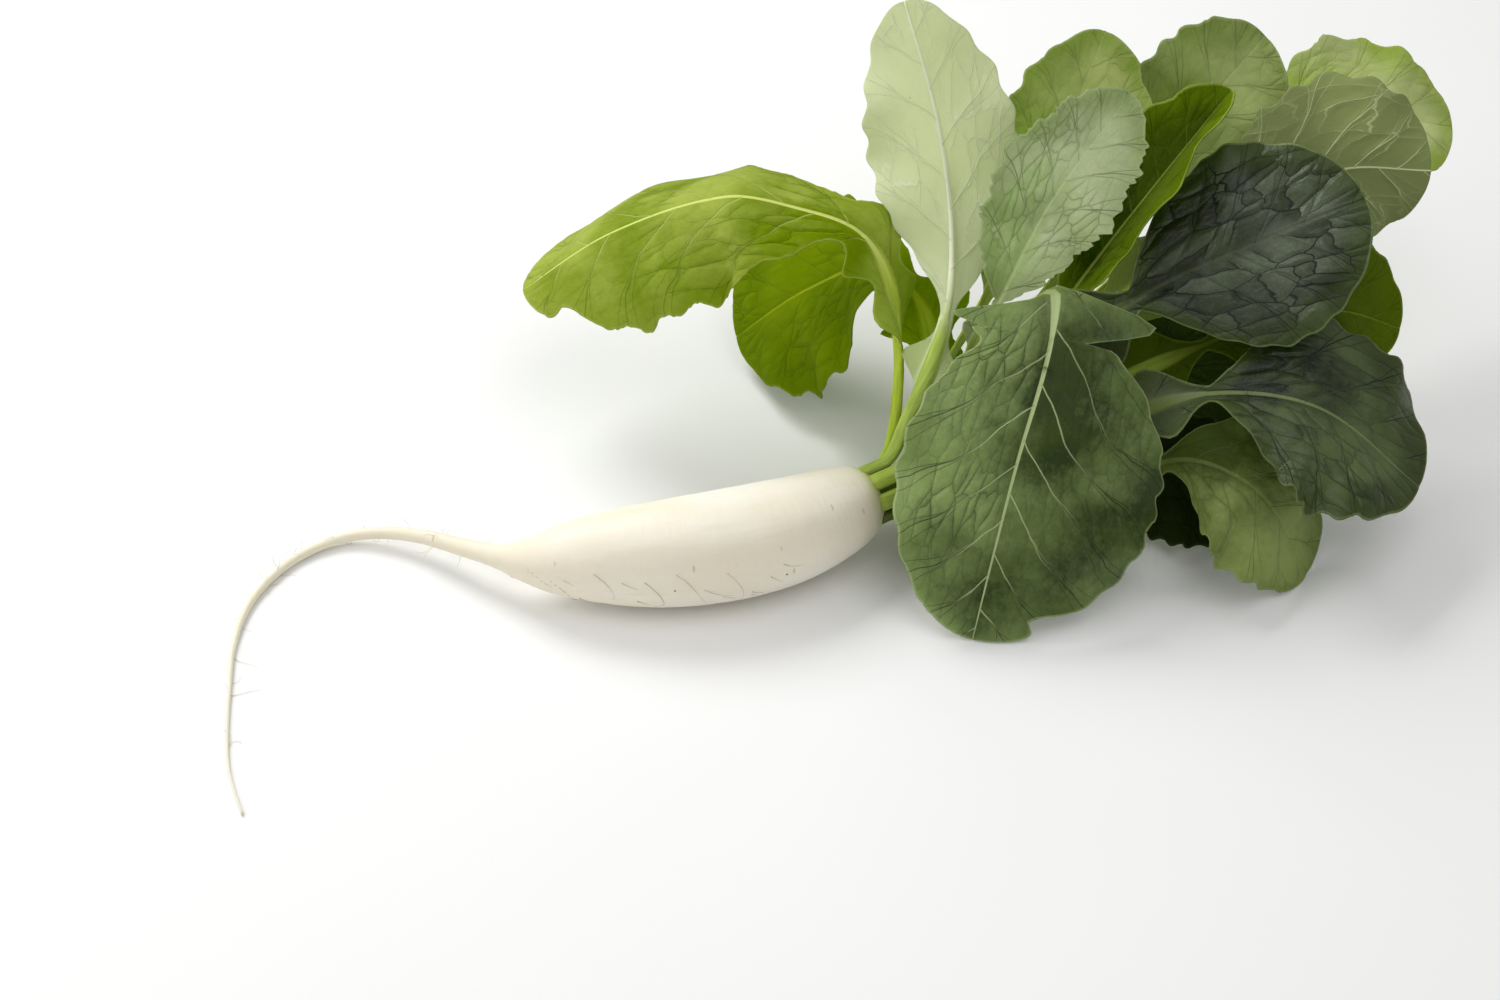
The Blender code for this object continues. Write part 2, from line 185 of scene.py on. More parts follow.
class Wire:
    """A socket in a node tree. Arithmetic on it adds Math nodes, and add() makes any other node."""

    def __init__(self, tree, socket=None):
        self.tree = tree
        self.socket = socket

    def add(self, kind, settings=None, sockets=None, out=0, family="ShaderNode"):
        """A node of this kind, with its settings first and then its sockets' values or links."""
        node = self.tree.nodes.new(family + kind)
        for key, value in (settings or {}).items():
            setattr(node, key, value)
        for key, value in (sockets or {}).items():
            if isinstance(value, Wire):
                self.tree.links.new(value.socket, node.inputs[key])
            else:
                node.inputs[key].default_value = value
        return Wire(self.tree, node.outputs[out])

    def math(self, operation, *values):
        return self.add("Math", {"operation": operation}, dict(enumerate(values)))

    def __add__(self, other):
        return self.math("ADD", self, other)

    def __sub__(self, other):
        return self.math("SUBTRACT", self, other)

    def __rsub__(self, other):
        return self.math("SUBTRACT", other, self)

    def __mul__(self, other):
        return self.math("MULTIPLY", self, other)

    def __truediv__(self, other):
        return self.math("DIVIDE", self, other)

    __radd__ = __add__
    __rmul__ = __mul__

    def step(self, start, end):
        """0 at start and 1 at end, in a smooth step; end may be the lower one."""
        sockets = {"Value": self, "From Min": start, "From Max": end}
        return self.add("MapRange", {"interpolation_type": "SMOOTHSTEP"}, sockets)

    def part(self, axis):
        return self.add("SeparateXYZ", sockets={"Vector": self}, out=axis)

    def scaled(self, *factors):
        """This place with its three coordinates multiplied."""
        return self.add("VectorMath", {"operation": "MULTIPLY"}, {0: self, 1: factors})

    def noise(self, scale, detail=2.0, roughness=0.5):
        """Noise from 0 to 1 in bumps about as long as scale."""
        sockets = {"Vector": self, "Scale": 1 / scale, "Detail": detail, "Roughness": roughness}
        return self.add("TexNoise", sockets=sockets)

    def warped(self, scale, size):
        """This place, shifted about by up to size in bends as long as scale."""
        drift = self.add("TexNoise", sockets={"Vector": self, "Scale": 1 / scale}, out=1)
        return self.add("VectorMath", {"operation": "MULTIPLY_ADD"}, {0: drift, 1: (size,) * 3, 2: self})

    def cells(self, scale, feature, out=0):
        """A value of the random cells, about scale across, that this place is in."""
        return self.add("TexVoronoi", {"feature": feature}, {"Vector": self, "Scale": 1 / scale}, out)

    def mix(self, low, high):
        """From the colour low to the colour high, by this value."""
        return self.add("Mix", {"data_type": "RGBA"}, {0: self, 6: low, 7: high}, out=2)

    def bump(self):
        """The surface's normal where this value is its height in mm."""
        return self.add("Bump", sockets={"Height": self, "Distance": MM, "Strength": 1.0})

    def to_surface(self):
        """Gives this shader to the material."""
        output = self.tree.nodes.new("ShaderNodeOutputMaterial")
        self.tree.links.new(self.socket, output.inputs["Surface"])


def colour(red, green, blue):
    """A colour as a screen shows it, 0 to 255, as the linear values that a shader takes."""
    shares = np.array([red, green, blue]) / 255
    linear = np.where(shares <= 0.04045, shares / 12.92, ((shares + 0.055) / 1.055) ** 2.4)
    return (*linear.tolist(), 1.0)


def shade_of(tone, share):
    """A colour of the screen with its values brought down to this share of them."""
    return colour(*(share * value for value in tone))


def new_finish(name):
    """An empty material, and the wire to add its nodes with."""
    made = bpy.data.materials.new(name)
    made.use_nodes = True
    made.node_tree.nodes.clear()
    return made, Wire(made.node_tree)


def root_skin():
    """Cream skin, greener at the crown, with streaks along it, faint rings, scars and specks."""
    made, wire = new_finish("root_skin")
    grain = wire.add("Attribute", {"attribute_name": "grain"}, out=1)
    along = grain.part(0)
    broad = grain.scaled(0.5, 1, 1).noise(16, 3).step(0.3, 0.7)
    cream = broad.mix(colour(249, 243, 229), colour(245, 236, 214))
    streaks = grain.scaled(0.1, 1, 1).noise(1.6, 3, 0.6).step(0.5, 0.85) * 0.22
    skin = streaks.mix(cream, colour(220, 206, 174))
    skin = (along.step(70, 130) * 0.5).mix(skin, colour(224, 218, 194))
    crown = (along + grain.noise(5, 2) * 7).step(9, 2.5)
    skin = crown.mix(skin, colour(226, 224, 160))
    scar_cells = grain.scaled(1, 0.3, 0.3)
    scar_chosen = scar_cells.cells(2.6, "F1", out=1).part(0).step(0.72, 0.74)
    scars = scar_cells.cells(2.6, "F1").step(0.16, 0.08) * scar_chosen * grain.noise(9).step(0.42, 0.55)
    skin = (scars * 0.4).mix(skin, colour(176, 150, 106))
    speck_chosen = grain.cells(7, "F1", out=1).part(1).step(0.8, 0.82)
    specks = grain.cells(7, "F1").step(0.055, 0.035) * speck_chosen
    skin = (specks * 0.8).mix(skin, colour(96, 74, 48))
    rings = grain.scaled(1, 0.12, 0.12).noise(1.4, 2)
    pores = grain.noise(0.5, 2)
    height = rings * 0.10 + pores * 0.03 - scars * 0.12 - specks * 0.06
    sockets = {
        "Base Color": skin,
        "Roughness": grain.noise(6, 3) * 0.16 + 0.34,
        "Normal": height.bump(),
        "Subsurface Weight": 0.35,
        "Subsurface Radius": (3.0, 2.2, 1.3),
        "Subsurface Scale": MM,
        "IOR": 1.4,
        "Specular IOR Level": 0.42,
    }
    wire.add("BsdfPrincipled", sockets=sockets).to_surface()
    return made


def root_frame():
    """The root's middle line in even steps, with its radius, and the side and upward directions there."""
    line = smooth_line(ROOT_LINE)
    along = lengths_along(line)
    stops = np.arange(0, along[-1] - TAIL_END, RING_STEP)
    line = np.stack([np.interp(stops, along, column) for column in line.T], axis=1)
    forward = unit(np.gradient(line[:, :3], axis=0))
    side = unit(np.cross(forward, (0, 0, 1)))
    return stops, line, forward, side, np.cross(side, forward)


def make_root():
    """The taproot, from a dome at the crown to the tip of the tail, flat where it rests."""
    stops, line, forward, side, upward = root_frame()
    turns = np.linspace(0, math.tau, ROOT_SIDES, endpoint=False) + math.pi / ROOT_SIDES
    dome = [(-past, line[0, :3] - past * forward[0], radius) for past, radius in reversed(CROWN_DOME)]
    stops = np.array([stop for stop, _, _ in dome] + list(stops))
    centres = np.array([centre for _, centre, _ in dome] + list(line[:, :3]))
    radii = np.array([radius for _, _, radius in dome] + list(line[:, 3]))
    side, upward = (np.concatenate([axis[:1].repeat(len(dome), axis=0), axis]) for axis in (side, upward))
    circle = np.stack([np.cos(turns), np.sin(turns)], axis=-1)
    grain = np.concatenate([np.broadcast_to(stops[:, None, None], (len(stops), ROOT_SIDES, 1)),
                            radii[:, None, None] * circle], axis=-1)
    big = np.clip(radii / WIDEST, 0, 1)[:, None]
    swell = LUMPS * rough(grain * (0.4, 1, 1), 9) + 0.3 * LUMPS * rough(grain * (0.5, 1, 1), 4, 1)
    swell = swell * big + RINGS_DEPTH * rough(grain * (1, 0.1, 0.1), 2.2, 2) * np.clip(4 * big, 0, 1)
    reach = (radii[:, None] + swell - 0.5 * LUMPS * big)[..., None]
    rings = centres[:, None] + reach * (circle[..., :1] * side[:, None] + circle[..., 1:] * upward[:, None])
    rings[..., 2] = np.maximum(rings[..., 2], FLOOR_GAP)
    made = body("taproot_skin", rings, root_skin(), {"grain": (grain, grain)}, np.zeros(ROOT_SIDES, bool))
    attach(made, "root")
    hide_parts("taproot")


make_root()

# Rootlets are hair-fine side roots. They grow from the tail and the lower half of the root in all directions,
# dry within hours of lifting, and then curl, or cling to the skin as thin darker threads.

ROOTLETS_ON_TAIL, ROOTLETS_ON_BODY = 46, 16
THREADS = [  # the long ones on the body: mm from the crown, turns round from its far side, length
    (30, 0.46, 7),
    (44, 0.45, 13),
    (49, 0.5, 9),
    (56, 0.44, 16),
    (63, 0.46, 20),
    (75, 0.43, 13),
    (86, 0.48, 15),
    (92, 0.43, 9),
]
ROOTLET_STEP = 0.8
ROOTLET_RADIUS = 0.08
ROOTLET_SIDES = 5
TAIL_FROM, TAIL_TO = 104, 235  # mm from the crown between which loose ones grow
BODY_FROM = 30  # and from where the short threads do


def rootlet_skin(name, pale, dark):
    """Straw-coloured hairs."""
    made, wire = new_finish(name)
    place = wire.add("TexCoord", out=3)
    tone = place.noise(0.004).step(0.35, 0.65)
    sockets = {"Base Color": tone.mix(colour(*pale), colour(*dark)), "Roughness": 0.6}
    wire.add("BsdfPrincipled", sockets=sockets).to_surface()
    return made


def rootlet(start, heading, length, curliness, rng, skin=None):
    """Rings of one curling hair that leaves start along heading. One that is given the skin clings to it."""
    places = [np.array(start, float)]
    heading = unit(np.array(heading, float))
    curl = unit(rng.normal(size=3)) * rng.uniform(0.3, 1) * curliness
    for _ in range(int(length / ROOTLET_STEP)):
        heading = unit(heading + np.cross(heading, curl) + 0.35 * curliness * rng.normal(size=3))
        places.append(places[-1] + ROOTLET_STEP * heading)
        if skin is not None:
            nearest = skin[np.argmin(np.linalg.norm(skin[:, :3] - places[-1], axis=1))]
            places[-1] = nearest[:3] + nearest[3] * unit(places[-1] - nearest[:3])
    places = np.array(places)
    places[:, 2] = np.maximum(places[:, 2], 0.2)
    forward = unit(np.gradient(places, axis=0))
    side = unit(np.cross(forward, (0.31, 0.17, 0.94)))
    over = np.cross(side, forward)
    turns = np.linspace(0, math.tau, ROOTLET_SIDES, endpoint=False)[None, :, None]
    radius = (ROOTLET_RADIUS * np.linspace(1, 0.25, len(places)))[:, None, None]
    return places[:, None] + radius * (np.cos(turns) * side[:, None] + np.sin(turns) * over[:, None])


def join_hairs(name, hairs, finish):
    """All the hairs of one colour as one piece."""
    shape = bmesh.new()
    for rings in hairs:
        if np.all(rings * MM > cad_box[0]) and np.all(rings * MM < cad_box[1]):
            hair = body("hair", rings, finish)
            shape.from_mesh(hair.data)
            bpy.data.objects.remove(hair)
    mesh = bpy.data.meshes.new(name)
    shape.to_mesh(mesh)
    shape.free()
    mesh.shade_smooth()
    mesh.materials.append(finish)
    made = in_scene(name, mesh)
    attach(made, "root")


def make_rootlets():
    """The rootlets: loose ones on the tail, and threads that cling to the body."""
    rng = np.random.default_rng(11)
    stops, line, forward, side, upward = root_frame()
    loose = []
    tail = np.searchsorted(stops, TAIL_FROM), np.searchsorted(stops, TAIL_TO)
    for index in rng.integers(*tail, ROOTLETS_ON_TAIL):
        turn = rng.uniform(0, math.tau)
        out = math.cos(turn) * side[index] + math.sin(turn) * upward[index]
        start = line[index, :3] + (line[index, 3] - 0.3) * out
        heading = out + 0.6 * rng.choice([-1, 1]) * forward[index] - np.array([0, 0, 0.2])
        loose.append(rootlet(start, heading, rng.uniform(3, 11), 0.4, rng))
    short = zip(rng.uniform(BODY_FROM, TAIL_FROM, ROOTLETS_ON_BODY), rng.uniform(0.44, 0.7, ROOTLETS_ON_BODY),
                rng.uniform(2, 6, ROOTLETS_ON_BODY))
    clinging = []
    for stop, turns, length in [*THREADS, *short]:
        index = np.searchsorted(stops, stop)
        turn, lower = math.tau * turns, math.tau * (turns + 0.25)
        out = math.cos(turn) * side[index] + math.sin(turn) * upward[index]
        down = math.cos(lower) * side[index] + math.sin(lower) * upward[index]
        start = line[index, :3] + line[index, 3] * out
        clinging.append(rootlet(start, down - 1.3 * forward[index], length, 0.1, rng, line))
    join_hairs("rootlets_loose", loose, rootlet_skin("rootlet_pale", (232, 226, 206), (208, 196, 166)))
    join_hairs("rootlets_clinging", clinging, rootlet_skin("rootlet_dry", (204, 192, 166), (160, 146, 120)))


make_rootlets()

# The leaves grow in a rosette from the crown, the outer ones first. Each has a fleshy channelled stalk, lobes
# below the blade, and a soft blade with a pale rib, forked side veins, a net of fine veins and teeth.

CROWN = np.array(ROOT_LINE[0][:3])
FOOT_RUN, INNER_RUN = 6.0, 1.0
SUNK = 1.6  # how far a stalk's foot reaches into the crown
GAP = 0.6  # where its solid begins
STALK_HALF_WIDTH = (2.2, 1.7)
STALK_THICKNESS = (2.2, 1.9)
BLADE_THICKNESS = 0.45
RIB_HALF_WIDTH = (0.6, 0.32, 0.14)  # of the rib, near the blade's base, past its middle and at its tip
RIB_STOPS = (-0.2, 0.0, 0.6, 1)  # shares of the blade where the rib has the stalk's width and these
RIB_DIP, RIB_BULGE = 0.25, 1.15  # mm that the rib lies below the upper side, and its width underneath
RELIEF, RELIEF_RUN = 0.8, 17  # mm that the blade rises and falls, and how long those bends are
VEIN_RIDGE, VEIN_RIDGE_REACH = 0.25, 0.5  # mm that side veins stand out below, and their half width
TOOTH_RISE, TOOTH_FALL = 0.78, 0.22  # shares of a tooth's pitch on which it rises and falls
THINNEST = 0.15  # mm, the least half width
STALK_FOLD = 10.0
VEIN_SLANT, SLANT_RUN = 0.5, 0.35
LOBE_STAGGER, LOWER_PLACE = 1.0, 2.6
BAY_PLACE, BAY_SPREAD = 0.9, 0.04
TIP_ROUNDNESS = 0.5
SCALLOPS, SCALLOP_SHIFTS = 8, (0.3, 0.2)
WAVE_SHIFT, WAVE_POWER, WAVE_RUN = 1.7, 1.6, 0.25
FOLD_RUN, RIB_END = 0.3, 0.8
STALK_TURN, STALK_LEAN = 0.35, 0.3
STALK_ROWS, BLADE_ROWS, HALF_COLUMNS = 36, 136, 33
STALK_CROWDING, TIP_CROWDING = 1.25, 1.3
EDGE_ROUND = 0.15
VEIN_CURVE = 0.3  # how much of its slope a side vein gives up on the way to the margin
VEIN_WANDER = ((26, 0.2), (10, 0.1), (3.5, 0.03))  # length of the side veins' bends, mm, and size in spacings
SWELLING = 1.3  # mm from a vein to where a swelling reaches its full height
OUTER, BETWEEN, INNER, CORE = 6.2, 4.75, 3.0, 0.4
SLENDER, SLIGHT = 0.65, 0.45


class Leaf(NamedTuple):
    """One leaf: the form that its solid has, and the relief and tones that its surface adds."""

    ring: float  # mm from the crown's centre
    turn: float  # degrees round the crown from the top, towards the front
    stalk: float  # size of the stalk, against the outer leaves'
    line: tuple  # points of the rib past the foot, mm
    blade: float  # length of the blade, mm
    width: float  # full width of the blade, mm
    faces: tuple  # where the upper side looks, at the blade's base and at its tip
    fold: float = 6.0  # degrees that each half rises from the rib
    cup: float = -15.0  # degrees more at the margin; below zero the margins hang down
    base: float = 0.9  # how the blade begins: 0.5 is round, above 1 is a wedge
    peak: float = 1.2  # where it is widest: 1 is the middle, more is nearer the tip
    wave: float = 2.2  # height of the margin's waves, mm
    waves: float = 3.0  # how many of them
    lobes: float = 5.0  # reach of the pair of lobes on the stalk, mm
    lobe_place: float = 8.0  # how far they sit below the blade, mm
    lobe_spread: float = 4.0  # and how broad they are, mm
    lower: float = 0.0  # reach of a second pair below, against the first
    bay: float = 0.0  # depth of the bay in the right margin near the tip, as a share of the width
    skew: float = 0.0  # how much wider the right half is, and how much narrower the left one
    scallop: float = 0.04  # depth of the margin's scallops, as a share of the half width
    seed: float = 0.0
    veins: float = 12.0  # mm between side veins, along the rib
    slope: float = 1.1  # mm that a side vein runs forwards for each mm outwards
    cell: float = 6.5  # mm across a cell of the net between them
    pucker: float = 0.4  # height of the swellings between the veins, mm
    plain: float = 0.0  # how smooth the right half is without them
    even: float = 0.25  # 1 where they cover the whole blade alike, 0 where they come in patches
    teeth: float = 0.4  # depth of the margin's teeth, mm
    pitch: float = 5.5  # mm from tooth to tooth
    fineness: float = 1.0  # of its mesh


CROWN_LINE = smooth_line(ROOT_LINE)
CROWN_AXIS = unit(CROWN - CROWN_LINE[np.searchsorted(lengths_along(CROWN_LINE), 1.5), :3])
CROWN_SIDE = unit(np.cross(CROWN_AXIS, (0, 0, 1)))
CROWN_UP = np.cross(CROWN_SIDE, CROWN_AXIS)


def rib_frame(leaf):
    """The rib's curve, the distance along it, and its side and upper directions at each step."""
    turn = math.radians(leaf.turn)
    outward = math.cos(turn) * CROWN_UP + math.sin(turn) * CROWN_SIDE
    foot = CROWN + leaf.ring * outward + GAP * CROWN_AXIS
    run = FOOT_RUN + INNER_RUN * (OUTER - leaf.ring)
    bend = foot + run * CROWN_AXIS
    reach = np.linalg.norm(leaf.line[0] - bend)
    curve = smooth_line([bend, *leaf.line], before=leaf.line[0] - 2 * reach * CROWN_AXIS, per_span=24)
    straight = foot + np.linspace(-SUNK, run, 8)[:-1, None] * CROWN_AXIS
    line = np.concatenate([straight, curve])
    along = lengths_along(line) - SUNK
    forward = unit(np.gradient(line, along, axis=0))
    length = along[-1]
    stalk = length - leaf.blade
    faces = [unit(np.array(face, float)) for face in leaf.faces]
    looks = [-outward, CROWN_AXIS - STALK_LEAN * outward, *faces]
    turned = STALK_TURN * stalk
    upper = np.tile(looks[0], (len(line), 1))
    for look, start, end in zip(looks[1:], (0, turned, stalk), (turned, stalk, length)):
        share = ramp(along, start, end)[:, None]
        upper = upper * (1 - share) + look * share
    upper = unit(upper - np.sum(upper * forward, axis=1, keepdims=True) * forward)
    return line, along, np.cross(upper, forward), upper


def half_width(leaf, x, length, side):
    """Half the leaf's width at distance x along it: the stalk, its lobes and the scalloped blade."""
    stalk = length - leaf.blade
    narrow = leaf.stalk * np.interp(x, (0, stalk, length), (*STALK_HALF_WIDTH, 0))
    t = np.clip((x - stalk) / leaf.blade, 0, 1)
    roundness = leaf.base + (TIP_ROUNDNESS - leaf.base) * t
    blade = leaf.width / 2 * (1 + leaf.skew * side) * np.sin(math.pi * t**leaf.peak) ** roundness
    shift = SCALLOP_SHIFTS[0] * leaf.seed + SCALLOP_SHIFTS[1] * side
    scallops = 1 + leaf.scallop * np.sin(math.tau * (SCALLOPS * t + shift))
    bay = 1 - leaf.bay * (side > 0) * np.exp(-(((t - BAY_PLACE) / BAY_SPREAD) ** 2))
    down = (stalk - x - leaf.lobe_place - LOBE_STAGGER * side) / leaf.lobe_spread
    lobe = leaf.lobes * (np.exp(-(down**2)) + leaf.lower * np.exp(-((down - LOWER_PLACE) ** 2)))
    return np.sqrt(narrow**2 + (blade * scallops * bay) ** 2) + lobe * ramp(x, 0, STALK_TURN * stalk)


def margin_teeth(leaf, x, length, side):
    """How far the teeth stand past the smooth margin. Each rises slowly and ends in a point."""
    stalk = length - leaf.blade
    wander = 0.4 * np.sin(0.23 * x + leaf.seed) + 0.25 * np.sin(0.61 * x + 2 * leaf.seed + side)
    phase = (x - stalk) / leaf.pitch + wander + 0.37 * leaf.seed * (2 + side)
    rise = phase - np.floor(phase)
    tooth = np.where(rise < TOOTH_RISE, rise / TOOTH_RISE, (1 - rise) / TOOTH_FALL)
    size = 0.6 + 0.4 * np.sin(1.9 * np.floor(phase) + leaf.seed)
    on_lobes = leaf.lobes / 20 * ramp(x, 0.3 * stalk, 0.6 * stalk)
    where = np.maximum(ramp(x, stalk - 2, stalk + 6), on_lobes)
    return leaf.teeth * (tooth - 0.5) * size * where * ramp(length - x, 0.2, 4)


def vein_places(leaf, x, y, length, side):
    """Where a spot lies among the side veins, and how far along them it is in mm.

    The first counts in spacings: a side vein runs halfway between each two whole numbers.
    """
    reach = np.abs(y)
    half = leaf.width / 2
    start = x - (length - leaf.blade) - leaf.slope * reach * (1 - VEIN_CURVE * np.clip(reach / half, 0, 1))
    flat = np.stack([x, y, np.full_like(x, 40.0 * leaf.seed)], axis=-1)
    across = start / leaf.veins + 0.5 + 0.22 * side
    for scale, size in VEIN_WANDER:
        across = across + size * rough(flat, scale, leaf.seed)
    return across, reach * math.hypot(1, leaf.slope)


def blade_points(leaf, x, y, frame_lines):
    """Places flat points (x along the rib, y across it) on the bent, folded and waved leaf."""
    line, along, sides, uppers = frame_lines
    stalk = along[-1] - leaf.blade
    at = [np.stack([np.interp(x, along, part[:, i]) for i in range(3)], axis=-1)
          for part in (line, sides, uppers)]
    reach = np.abs(y)
    opened = ramp(x, stalk, stalk + FOLD_RUN * leaf.blade)
    fold = np.radians(STALK_FOLD + (leaf.fold - STALK_FOLD) * opened)
    curl = math.radians(leaf.cup) / (leaf.width / 2)
    across = (np.sin(fold + curl * reach) - np.sin(fold)) / curl
    rise = (np.cos(fold) - np.cos(fold + curl * reach)) / curl
    phase = leaf.seed + WAVE_SHIFT * (y > 0)
    swell = np.clip(reach / (leaf.width / 2), 0, 1) ** WAVE_POWER
    swell = swell * ramp(x, stalk, stalk + WAVE_RUN * leaf.blade)
    rise = rise + leaf.wave * swell * np.sin(math.tau * leaf.waves * (x - stalk) / leaf.blade + phase)
    return at[0] + at[1] * (np.sign(y) * across)[..., None] + unit(at[2]) * rise[..., None]


def net_cells(veins, leaf):
    """The place whose cells the net of veins surrounds, in mm among the side veins."""
    spacing = leaf.veins / math.hypot(1, leaf.slope)
    return veins.add("CombineXYZ", sockets={0: veins.part(0) * spacing, 1: veins.part(1)}).warped(4.0, 2.0)


def net_of_veins(veins, leaf):
    """Distance to the nearest vein of the net, in cells from 0 to about 0.5."""
    return net_cells(veins, leaf).cells(leaf.cell, "DISTANCE_TO_EDGE")


def off_side_vein(veins):
    """How far a place lies before or past the nearest side vein, in spacings from -0.5 to 0.5."""
    return veins.math("FRACT", veins.part(0)) - 0.5


def swell_between_veins(leaf):
    """Geometry nodes that lift the blade between its veins, as its upper side swells over a quilted net."""
    tree = bpy.data.node_groups.new("swellings", "GeometryNodeTree")
    tree.interface.new_socket("Geometry", in_out="INPUT", socket_type="NodeSocketGeometry")
    tree.interface.new_socket("Geometry", in_out="OUTPUT", socket_type="NodeSocketGeometry")
    wire = Wire(tree)
    spot, veins, ribs = (
        wire.add("InputNamedAttribute", {"data_type": "FLOAT_VECTOR"}, {"Name": label}, family="GeometryNode")
        for label in ("spot", "veins", "ribs")
    )
    net = net_of_veins(veins, leaf) * leaf.cell
    side_vein = veins.math("ABSOLUTE", off_side_vein(veins)) * (leaf.veins / math.hypot(1, leaf.slope))
    nearest = wire.math("MINIMUM", net, side_vein) / SWELLING
    height = (nearest.step(0, 1) - 0.5) * ribs.part(2) * (1 - spot.part(2) * 2) * (leaf.pucker * MM)
    normal = wire.add("InputNormal", family="GeometryNode")
    shift = normal.add("VectorMath", {"operation": "SCALE"}, {0: normal, "Scale": height})
    shape = Wire(tree, tree.nodes.new("NodeGroupInput").outputs[0])
    moved = wire.add("SetPosition", sockets={"Geometry": shape, "Offset": shift}, family="GeometryNode")
    tree.links.new(moved.socket, tree.nodes.new("NodeGroupOutput").inputs[0])
    return tree


def make_leaf(name, leaf):
    """One leaf as a closed body: upper side, rounded margins and underside with its raised rib and veins."""
    frame_lines = rib_frame(leaf)
    length = frame_lines[1][-1]
    stalk = length - leaf.blade
    on_stalk = 1 - (1 - np.linspace(0, 1, STALK_ROWS)) ** STALK_CROWDING
    on_blade = 1 - (1 - np.linspace(0, 1, int(BLADE_ROWS * leaf.fineness))) ** TIP_CROWDING
    half_columns = int(HALF_COLUMNS * leaf.fineness)
    margin = np.concatenate([-SUNK + (stalk + SUNK) * on_stalk[:-1], stalk + leaf.blade * on_blade])[:, None]
    column = np.linspace(-1, 1, 2 * half_columns + 1)[None, :]
    side = np.sign(column)
    opened = ramp(margin, stalk, stalk + SLANT_RUN * leaf.blade)
    lean = VEIN_SLANT * half_width(leaf, margin, length, 0) * opened
    x = margin - lean * (1 - np.abs(column))
    wide = half_width(leaf, margin, length, side) + margin_teeth(leaf, margin, length, side)
    wide = np.maximum(wide, THINNEST)
    y = column * wide
    places = blade_points(leaf, x, y, frame_lines)
    patterns = [vein_places(leaf, x, y, length, which) for which in (-1, 1)]
    across = np.where(column < 0, patterns[0][0], patterns[1][0])
    rib_widths = (STALK_HALF_WIDTH[1], *RIB_HALF_WIDTH)
    rib = leaf.stalk**0.5 * np.interp(x, stalk + leaf.blade * np.array(RIB_STOPS), rib_widths)
    reach = np.abs(y)
    open_blade = ramp(x, stalk - 12, stalk + 4) * ramp(reach, rib, rib + 3)
    fading = 1 - 0.7 * ramp(np.abs(column), 0.75, 1)
    flat = np.stack([x, y, np.full_like(x, 90.0 + leaf.seed)], axis=-1)
    relief = RELIEF * rough(flat, RELIEF_RUN, 3) * open_blade
    rib_end = stalk + RIB_END * leaf.blade
    ribbed = leaf.stalk * np.interp(x, (0, stalk, rib_end), (*STALK_THICKNESS, BLADE_THICKNESS))
    stem = leaf.stalk * np.interp(margin, (0, stalk), STALK_HALF_WIDTH)
    stem_wide = np.where(x < stalk, np.maximum(stem, rib), 1.3 * rib)
    on_rib = np.sqrt(np.clip(1 - (y / (RIB_BULGE * stem_wide)) ** 2, 0, 1))
    vein_line = np.abs(across - np.floor(across) - 0.5) * leaf.veins / math.hypot(1, leaf.slope)
    ridge = VEIN_RIDGE * np.exp(-((vein_line / VEIN_RIDGE_REACH) ** 2)) * open_blade * (1 - np.abs(column))
    thick = BLADE_THICKNESS + np.clip(ribbed - BLADE_THICKNESS, 0, None) * on_rib + ridge
    normal = unit(np.cross(np.gradient(places, axis=0), np.gradient(places, axis=1)))
    upper = places + normal * (relief - RIB_DIP * on_rib * (x > stalk))[..., None]
    lower = upper - normal * thick[..., None]
    outward = unit(np.gradient(places, axis=1))
    edges = [
        (upper[:, i] + lower[:, i]) / 2 + sign * EDGE_ROUND * outward[:, i]
        for i, sign in ((-1, 1), (0, -1))
    ]
    rings = np.concatenate([upper, edges[0][:, None], lower[:, ::-1], edges[1][:, None]], axis=1)

    def round_trip(values):
        """A value of the sheet's points, for the rings: upper side, margin, underside, margin."""
        return np.concatenate([values, values[:, -1:], values[:, ::-1], values[:, :1]], axis=1)

    under = np.concatenate([np.zeros_like(x), np.full_like(x[:, :1], 0.5), np.ones_like(x),
                            np.full_like(x[:, :1], 0.5)], axis=1)
    spot = np.stack([round_trip(x - stalk), round_trip(y), under], axis=-1)
    share = round_trip(np.broadcast_to(np.abs(column), x.shape))
    halves = [np.stack([round_trip(a), round_trip(b), share], axis=-1) for a, b in patterns]
    quilting = (leaf.even + (1 - leaf.even) * ramp(rough(flat, 24, 5), -0.2, 0.25)) * open_blade * fading
    quilting = quilting * (1 - leaf.plain * (column > 0))
    ribs = np.stack([round_trip(reach / rib), round_trip(wide - reach), round_trip(quilting)], axis=-1)
    columns = x.shape[1]
    place_in_ring = np.arange(rings.shape[1])
    right_of = (place_in_ring >= half_columns) & (place_in_ring < columns + 1 + half_columns)
    values = {"spot": (spot, spot), "veins": tuple(halves), "ribs": (ribs, ribs)}
    made = body(name + "_fresh", rings, leaf_finish(name + "_skin", TONES[name], leaf), values, right_of)
    made.modifiers.new("swellings", "NODES").node_group = swell_between_veins(leaf)
    swollen = made.evaluated_get(bpy.context.evaluated_depsgraph_get())
    made.data = bpy.data.meshes.new_from_object(swollen)
    made.modifiers.clear()
    for vert in made.data.vertices:
        vert.co.z = max(vert.co.z, FLOOR_GAP * MM)
    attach(made, "root")
    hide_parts(name)


